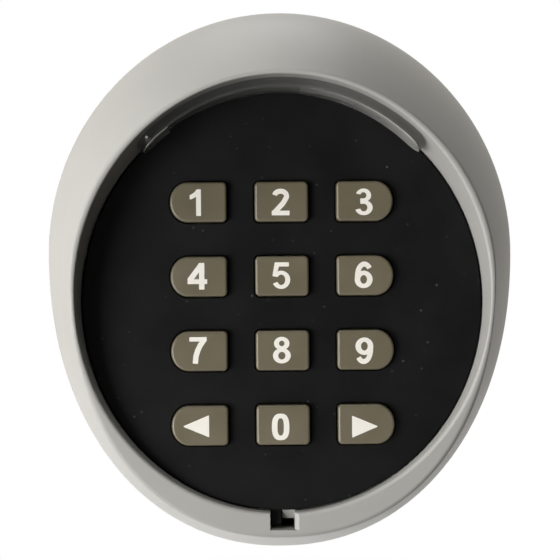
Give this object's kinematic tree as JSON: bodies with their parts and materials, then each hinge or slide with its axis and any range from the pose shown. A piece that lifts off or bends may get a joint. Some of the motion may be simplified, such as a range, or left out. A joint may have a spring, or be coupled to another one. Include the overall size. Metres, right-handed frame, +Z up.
{
  "type": "outdoor numeric keypad",
  "caption": "Egg-shaped wall keypad with a rain hood, a recessed oval panel of sprung digit keys, a clear light bar and a battery radio module behind.",
  "frame": {"origin": "on the wall plane, at the middle of the rear plate's back face, behind the middle of the housing's width and height", "axes": "+X to the user's right when facing the keys, +Y into the wall, +Z up; the keys face -Y"},
  "size_m": [0.105, 0.0401, 0.1211],
  "materials": {
    "housing_silver": "satin metallic paint over moulded plastic",
    "plate_grey": "moulded, matt",
    "foam": "closed-cell foam",
    "steel": "zinc plated",
    "panel_black": "fine moulded texture, satin",
    "guide_clear": "polished, clear",
    "silicone": "translucent",
    "lamp": "clear over a white cup",
    "board_green": "solder mask",
    "chip_black": "moulded epoxy",
    "nickel": "nickel plated",
    "copper_wire": "enamelled",
    "cell_jacket": "printed sleeve",
    "key_taupe": "satin",
    "legend_white": "satin"
  },
  "bodies": {
    "case": {"housing": "housing_silver", "rear_plate": "plate_grey", "rear_gasket": "foam", "rear_plate_screws": "steel", "front_panel": "panel_black", "light_guide": "guide_clear", "dome_mat": "silicone", "leds": "lamp", "circuit_board": "board_green", "controller_chip": "chip_black", "radio_module": "board_green", "crystal": "steel", "buzzer": "chip_black", "capacitors": "nickel", "antenna_coil": "copper_wire", "rear_cover": "panel_black", "rear_cover_screws": "steel", "battery_door": "panel_black", "batteries": "cell_jacket", "battery_springs": "steel", "battery_contacts": "nickel"},
    "button_1": {"key_1": "key_taupe", "legend_1": "legend_white"},
    "button_2": {"key_2": "key_taupe", "legend_2": "legend_white"},
    "button_3": {"key_3": "key_taupe", "legend_3": "legend_white"},
    "button_4": {"key_4": "key_taupe", "legend_4": "legend_white"},
    "button_5": {"key_5": "key_taupe", "legend_5": "legend_white"},
    "button_6": {"key_6": "key_taupe", "legend_6": "legend_white"},
    "button_7": {"key_7": "key_taupe", "legend_7": "legend_white"},
    "button_8": {"key_8": "key_taupe", "legend_8": "legend_white"},
    "button_9": {"key_9": "key_taupe", "legend_9": "legend_white"},
    "button_left": {"key_left": "key_taupe", "legend_left": "legend_white"},
    "button_0": {"key_0": "key_taupe", "legend_0": "legend_white"},
    "button_right": {"key_right": "key_taupe", "legend_right": "legend_white"}
  },
  "joints": [
    {"name": "press_1", "type": "slide", "parent": "case", "child": "button_1", "axis": [0, 1, 0], "range_m": [0, 0.0012], "stiffness_N_per_m": 400, "springref_m": -0.001, "deforming": ["dome_mat"]},
    {"name": "press_2", "type": "slide", "parent": "case", "child": "button_2", "axis": [0, 1, 0], "range_m": [0, 0.0012], "stiffness_N_per_m": 400, "springref_m": -0.001, "deforming": ["dome_mat"]},
    {"name": "press_3", "type": "slide", "parent": "case", "child": "button_3", "axis": [0, 1, 0], "range_m": [0, 0.0012], "stiffness_N_per_m": 400, "springref_m": -0.001, "deforming": ["dome_mat"]},
    {"name": "press_4", "type": "slide", "parent": "case", "child": "button_4", "axis": [0, 1, 0], "range_m": [0, 0.0012], "stiffness_N_per_m": 400, "springref_m": -0.001, "deforming": ["dome_mat"]},
    {"name": "press_5", "type": "slide", "parent": "case", "child": "button_5", "axis": [0, 1, 0], "range_m": [0, 0.0012], "stiffness_N_per_m": 400, "springref_m": -0.001, "deforming": ["dome_mat"]},
    {"name": "press_6", "type": "slide", "parent": "case", "child": "button_6", "axis": [0, 1, 0], "range_m": [0, 0.0012], "stiffness_N_per_m": 400, "springref_m": -0.001, "deforming": ["dome_mat"]},
    {"name": "press_7", "type": "slide", "parent": "case", "child": "button_7", "axis": [0, 1, 0], "range_m": [0, 0.0012], "stiffness_N_per_m": 400, "springref_m": -0.001, "deforming": ["dome_mat"]},
    {"name": "press_8", "type": "slide", "parent": "case", "child": "button_8", "axis": [0, 1, 0], "range_m": [0, 0.0012], "stiffness_N_per_m": 400, "springref_m": -0.001, "deforming": ["dome_mat"]},
    {"name": "press_9", "type": "slide", "parent": "case", "child": "button_9", "axis": [0, 1, 0], "range_m": [0, 0.0012], "stiffness_N_per_m": 400, "springref_m": -0.001, "deforming": ["dome_mat"]},
    {"name": "press_left", "type": "slide", "parent": "case", "child": "button_left", "axis": [0, 1, 0], "range_m": [0, 0.0012], "stiffness_N_per_m": 400, "springref_m": -0.001, "deforming": ["dome_mat"]},
    {"name": "press_0", "type": "slide", "parent": "case", "child": "button_0", "axis": [0, 1, 0], "range_m": [0, 0.0012], "stiffness_N_per_m": 400, "springref_m": -0.001, "deforming": ["dome_mat"]},
    {"name": "press_right", "type": "slide", "parent": "case", "child": "button_right", "axis": [0, 1, 0], "range_m": [0, 0.0012], "stiffness_N_per_m": 400, "springref_m": -0.001, "deforming": ["dome_mat"]}
  ]
}
